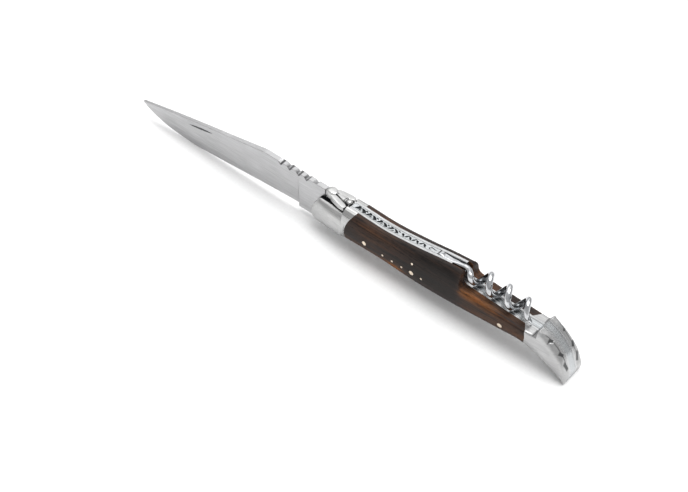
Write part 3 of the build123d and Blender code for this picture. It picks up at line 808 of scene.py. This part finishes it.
# ================================================================ blade
BLADE_HALF = 1.22
BLADE_END = 109.6
TANG_RADIUS = 6.4
TANG_FOOT = 3.0            # the underside of the tang and the ricasso
NOTCH = 3.1                # the tang's back drops here to clear the spring
NOTCH_BACK = 19.4
PLUNGE = 17.0              # the flat grind starts here
GRIND_TOP = 20.5           # the grind would be full thickness at this height
GRIND_FOOT = -1.0
EDGE_HALF = 0.15
KINK = 35.2
SPINE = [(NOTCH, NOTCH_BACK), (16.0, 19.6), (26.0, 19.8), (KINK, 20.0)]
BACK_TO_TIP = [(KINK, 20.0), (51.8, 17.3), (74.3, 13.8), (93.8, 10.5), (BLADE_END, 7.6)]
HEEL_START, HEEL_END = 16.4, 18.4
HEEL = [(HEEL_START, TANG_FOOT), (17.0, 2.6), (17.4, 3.1), (HEEL_END, 3.4)]
EDGE = [(BLADE_END, 7.6), (109.3, 7.0), (108.0, 6.0), (104.4, 4.1), (97.1, 1.7), (89.6, 0.6), (78.4, 0.0),
        (67.4, 0.4), (49.6, 1.6), (32.5, 2.7), (HEEL_END, 3.4)]
# The file cuts lean, so the left side (1) and the right side (-1) have their own.
FILEWORK = {1: [26.5, 21.8, 17.0, 12.8], -1: [22.9, 18.0, 13.2, 8.6]}
FILE_REACH = {1: 1.25, -1: 1.15}  # a cut reaches this far to either side of its middle
FILE_STEEP = {1: 1.0, -1: 0.75}
# painted shade on the walls of the file cuts, for each side
FILE_PAINTED_SHADE = {1: 0.7, -1: 0.35}
SPINE_EASE = 0.1           # the spine's edges are broken by this much
SHARPENED = 0.5            # the height of the final bevel
NICK_FRONT, NICK_REAR = (80.5, 10.1), (64.8, 12.9)
NICK_UP, NICK_DOWN = 0.55, 0.45
NICK_DEPTH = 0.45
BLADE_ROWS = 110
# Runs of stations, each with its first and last place and their spacing.
BLADE_RUNS = [(3.5, 7.0, 0.5), (7.1, 28.0, 0.13), (28.4, 64.0, 0.6), (64.2, 81.0, 0.2), (81.5, 106.0, 0.6),
              (106.2, 109.2, 0.2)]
BLADE_LAST = [109.4, 109.52, 109.58]


def nail_nick(x, z):
    """How deep the nick is at x and z, from 0 to 1, and how dark its shaded upper wall is."""
    way = np.clip((x - NICK_REAR[0]) / (NICK_FRONT[0] - NICK_REAR[0]), 0, 1)
    swell = 4 * way * (1 - way)
    line = NICK_REAR[1] + (NICK_FRONT[1] - NICK_REAR[1]) * way
    upper = line + NICK_UP * swell
    lower = line - NICK_DOWN * swell
    inside = np.clip((z - lower) / np.maximum(upper - lower, 0.01), 0, 1) * (z < upper)
    return inside * np.minimum(1, 1.6 * swell), 0.8 * (inside > 0.05) * np.minimum(1, 2 * swell)


def file_cut(x, side):
    """How far the nearest file cut on one side reaches past x."""
    return max(max(FILE_REACH[side] - abs(x - place), 0.0) for place in FILEWORK[side])


def blade_half(x, z, bottom, top):
    """Half the blade's thickness: full in the ricasso, then thinning down to the edge."""
    ground = EDGE_HALF + (BLADE_HALF - EDGE_HALF) * np.clip((z - GRIND_FOOT) / (GRIND_TOP - GRIND_FOOT), 0, 1)
    plunge = float(ease(x, PLUNGE - 0.4, PLUNGE + 0.8))
    half = BLADE_HALF * (1 - plunge) + ground * plunge
    sharpened = np.clip((z - bottom) / SHARPENED, 0, 1)
    half = half * (0.1 + 0.9 * sharpened) ** plunge
    half = half - SPINE_EASE * (1 - np.clip((top - z) / 0.12, 0, 1))
    return np.minimum(half, max(0.02, (BLADE_END - x) * 0.6) + 0.01)


def blade():
    """The blade: tang, ricasso, flat grind to the edge, filed spine, nail nick on the left."""
    spine, long_back, edge, heel = through(SPINE), through(BACK_TO_TIP), through(EDGE), along(HEEL)
    tang = PIVOT[0] - TANG_RADIUS * np.cos(row(0, np.pi / 2, 0.12))
    runs = [row(*run_of) for run_of in BLADE_RUNS]
    xs = np.concatenate([tang, [NOTCH - 0.4, NOTCH, NOTCH + WALL], *runs, BLADE_LAST])
    share = np.linspace(0, 1, BLADE_ROWS)
    rings, tones = [], []
    for x in xs:
        reach = np.sqrt(max(TANG_RADIUS**2 - (x - PIVOT[0]) ** 2, 0.0))
        bottom = max(PIVOT[1] - reach, TANG_FOOT) if x < PIVOT[0] else TANG_FOOT
        if x > HEEL_START:
            bottom = float(heel(x) if x < HEEL_END else edge(x))
        sides = []
        for side in (1, -1):
            top = PIVOT[1] + (reach if x < PIVOT[0] else TANG_RADIUS)
            if x > NOTCH:
                top = float(spine(x) if x < KINK else long_back(x)) - file_cut(x, side) * FILE_STEEP[side]
            z = bottom + (top - bottom) * share
            half = blade_half(x, z, bottom, top)
            # painted shade on the file cuts' walls near the spine, and below on the nick's upper wall
            dark = FILE_PAINTED_SHADE[side] * min(1.0, file_cut(x, 1) / 0.3) * (z > top - 0.3)
            if side == 1:
                lens, shade = nail_nick(x, z)
                half = half - NICK_DEPTH * lens
                dark = np.maximum(dark, shade)
            sides.append((np.stack([np.full_like(z, x), side * half, z], 1), dark))
        (near, near_dark), (far, far_dark) = sides
        rings.append(np.concatenate([near, far[::-1]]))
        tones.append(np.concatenate([near_dark, far_dark[::-1]]))
    mesh = skin("blade_form", [np.array(rings)], [np.array(tones)])
    add_piece("blade_form", mesh, "blade", BLADE_STEEL, ["blade"], 28)


# ================================================================ corkscrew
SHANK_END = (-60.4, 20.3)
WIRE = 1.2
ROOT_FACE = -50.45         # the root's front face, flush against the spring's arm
# Outlines of the flat root from its face back to the round shank.
ROOT_TOP = [(ROOT_FACE, 20.45), (-50.6, 20.62), (-53.3, 20.7), (-56.3, 20.8), (-58.5, 21.2),
            (SHANK_END[0], SHANK_END[1] + WIRE)]
ROOT_LOW = [(ROOT_FACE, 17.4), (-50.6, 16.9), (-51.2, 15.9), (-52.2, 15.2), (-53.3, 15.0), (-54.9, 15.5),
            (-56.6, 17.0), (-58.6, 18.4), (SHANK_END[0], SHANK_END[1] - WIRE)]
ROOT_PLACES = [ROOT_FACE, -50.5, -50.6, -50.8, -51.0, -51.3]
NECK_MIDDLE = (-63.4, 0.35, 20.9)
WORM_START = np.array((-66.4, 0.0, 20.55))
WORM_RADIUS = 2.85
PITCH = 7.95
TURNS = 3.1
SLOPE = 0.083              # the screw's axis falls this much for each mm backward
POINT_LENGTH = 2.4
AROUND = np.linspace(0, 2 * np.pi, 33)[:-1]
THINNEST = 0.8             # the wire's share of its thickness where the point's taper starts
TAPER_FROM, TAPER_TO = 18, 4  # distances from the point
# how dark the painted shade inside the coil and under the wire is
SHADE = 0.85


def bow(start, start_way, end, end_way, steps):
    """Points on a bend that leaves start and arrives at end in the given directions."""
    t = np.linspace(0, 1, steps)[:, None]
    start, start_way, end, end_way = (np.array(v, float) for v in (start, start_way, end, end_way))
    first = start * (1 + 2 * t) * (1 - t) ** 2 + end * t * t * (3 - 2 * t)
    return first + start_way * t * (1 - t) ** 2 - end_way * t * t * (1 - t)


def root_rings():
    """The flat root on the pivot, rounding off into the shank, with painted shade on its underside."""
    top_line, low_line = through(ROOT_TOP), through(ROOT_LOW)
    rings, tones = [], []
    for x in np.concatenate([ROOT_PLACES, row(-51.6, SHANK_END[0] + 0.3, 0.3)]):
        middle = (top_line(x) + low_line(x)) / 2
        half = (top_line(x) - low_line(x)) / 2
        n = 2 + 7 * (1 - ease(-x, 54.5, 60.0))
        c, s = np.cos(AROUND), np.sin(AROUND)
        y = (BLADE_HALF + (WIRE - BLADE_HALF) * ease(-x, 56, 60)) * np.sign(c) * np.abs(c) ** (2 / n)
        z = middle + half * np.sign(s) * np.abs(s) ** (2 / n)
        rings.append(np.stack([np.full_like(y, x), y, z], 1))
        # painted shade on the root's underside
        tones.append(0.7 * (z < middle - 0.4 * half) * ease(-x, 55.0, 57.0))
    return rings, tones


def wire_path(way, down):
    """The wire's middle line: the neck, three turns of the screw, and its straight point."""
    near = np.array([0, 1.0, 0])
    turn = np.linspace(0, TURNS * 2 * np.pi, 190)[:, None]
    circle = WORM_RADIUS * (np.cos(turn) * near + np.sin(turn) * down)
    worm = WORM_START + circle + PITCH * turn / (2 * np.pi) * way
    arrive = worm[1] - worm[0]
    arrive /= np.linalg.norm(arrive)
    leave = worm[-1] - worm[-2]
    leave /= np.linalg.norm(leave)
    neck = bow((SHANK_END[0], 0, SHANK_END[1]), (-3.2, 0, 0.4), NECK_MIDDLE, (-3.3, 1.2, 0.0), 12)
    out = bow(NECK_MIDDLE, (-3.6, 1.4, 0.0), worm[0], arrive * 5.0, 16)
    point = worm[-1] + leave * np.linspace(0, POINT_LENGTH, 10)[1:, None]
    return np.concatenate([neck, out[1:], worm[1:], point])


def corkscrew():
    """One piece of steel: a flat root on the pivot, a shank, and a tapering right-hand screw."""
    rings, tones = root_rings()
    length = np.hypot(1, SLOPE)
    way = np.array([-1, 0, -SLOPE]) / length
    path = wire_path(way, np.array([SLOPE, 0, -1]) / length)
    tangents = np.gradient(path, axis=0)
    tangents /= np.linalg.norm(tangents, axis=1)[:, None]
    steps = np.linalg.norm(np.diff(path, axis=0), axis=1)
    to_go = np.concatenate([np.cumsum(steps[::-1])[::-1], [0]])
    side = np.array([0, 1.0, 0])
    for spot, tangent, left in zip(path, tangents, to_go):
        side = side - tangent * (side @ tangent)
        side /= np.linalg.norm(side)
        up = np.cross(side, tangent)
        thickness = THINNEST + (1 - THINNEST) * ease(left, TAPER_TO, TAPER_FROM)
        radius = WIRE * thickness * np.clip(left / 3.2 + 0.06, 0, 1) ** 0.7
        out = np.outer(np.cos(AROUND), side) + np.outer(np.sin(AROUND), up)
        rings.append(spot + radius * out)
        axis_spot = WORM_START + way * max((spot - WORM_START) @ way, 0.0)
        inward = (axis_spot - spot) / np.linalg.norm(axis_spot - spot)
        # painted shade on the side of the wire that faces the screw's axis and on its underside
        tones.append(SHADE * ease(np.maximum(out @ inward, -out[:, 2] - 0.15), 0.15, 0.65))
    mesh = skin("corkscrew_form", [np.array(rings)], [tones])
    add_piece("corkscrew_form", mesh, "corkscrew", WORM_STEEL, ["corkscrew"], 50)


front_bolster()
scale()
tail_bolster()
liner("left", RELIEF)
liner("right", FAR_RELIEF)
backspring()
thumb_rest()
pins()
blade()
corkscrew()
for node in ("left_bolster_pins", "right_bolster_pins", "spring_pins", "corkscrew_pivot_pin"):
    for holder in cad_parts[node].material_slots:
        holder.material = PIN_STEEL


# ================================================================ floor, light, camera
# Each light's name, place (m), width (m) and power (W). They all face the knife.
STUDIO_LIGHTS = [
    ("softbox", (-0.12, -0.08, 0.6), 0.42, 2.7),
    ("far_card", (0.7, -0.95, 0.95), 1.3, 3.6),
    ("overhead_card", (0.5, -0.1, 0.85), 0.85, 2.2),
]
ROOM_STRENGTH = 0.58
TABLE_REACH = 3.0
CAMERA_PLACE = Vector((-0.207711, 0.235323, 0.290835))
CAMERA_AIM = Vector((-0.005811, 0.0, -0.005185))
CAMERA_LENS = 57.557
CAMERA_ROLL = 1.225        # degrees
CLIP_START = 0.01


def white_paper():
    """Matte white paper: no sheen, with fibres that mottle it by a shade."""
    material, tree, shader, put = start_material("white_paper", 0.0)
    place = put("TexCoord", "Object")
    fibre = put("TexNoise", links={"Vector": place}, values={"Scale": 900.0, "Detail": 3.0})
    colour = put("ValToRGB", links={"Fac": fibre}, stops=[(0.3, "#f6f6f6"), (0.7, "#fbfbfb")])
    tree.links.new(colour, shader.inputs["Base Color"])
    shader.inputs["Roughness"].default_value = 0.9
    return material


def studio():
    """A white table, a soft light overhead, two dim cards for the steel to reflect, and a
    bright room all round."""
    table = bpy.data.meshes.new("table_top")
    corners = [(x * TABLE_REACH, y * TABLE_REACH, 0) for x, y in ((-1, -1), (1, -1), (1, 1), (-1, 1))]
    table.from_pydata(corners, [], [(0, 1, 2, 3)])
    table.materials.append(white_paper())
    floor = bpy.data.objects.new("table_top", table)
    bpy.context.scene.collection.objects.link(floor)
    world = bpy.data.worlds.new("room")
    bpy.context.scene.world = world
    world.use_nodes = True
    world.node_tree.nodes["Background"].inputs["Color"].default_value = (1, 1, 1, 1)
    world.node_tree.nodes["Background"].inputs["Strength"].default_value = ROOM_STRENGTH
    for name, spot, size, energy in STUDIO_LIGHTS:
        lamp = bpy.data.lights.new(name, "AREA")
        lamp.energy = energy
        lamp.size = size
        holder = bpy.data.objects.new(name, lamp)
        holder.location = spot
        holder.rotation_mode = "QUATERNION"
        holder.rotation_quaternion = (-Vector(spot)).to_track_quat("-Z", "Y")
        bpy.context.scene.collection.objects.link(holder)
    bpy.context.scene.view_settings.view_transform = "Standard"


def camera():
    """A camera that looks down on the knife from its near side, behind the tail."""
    lens = bpy.data.cameras.new("camera")
    lens.lens = CAMERA_LENS
    lens.clip_start = CLIP_START
    holder = bpy.data.objects.new("camera", lens)
    bpy.context.scene.collection.objects.link(holder)
    turned = (CAMERA_AIM - CAMERA_PLACE).to_track_quat("-Z", "Y").to_matrix().to_4x4()
    rolled = turned @ Matrix.Rotation(radians(CAMERA_ROLL), 4, "Z")
    holder.matrix_world = Matrix.Translation(CAMERA_PLACE) @ rolled
    bpy.context.scene.camera = holder


studio()
camera()

bpy.context.view_layer.update()
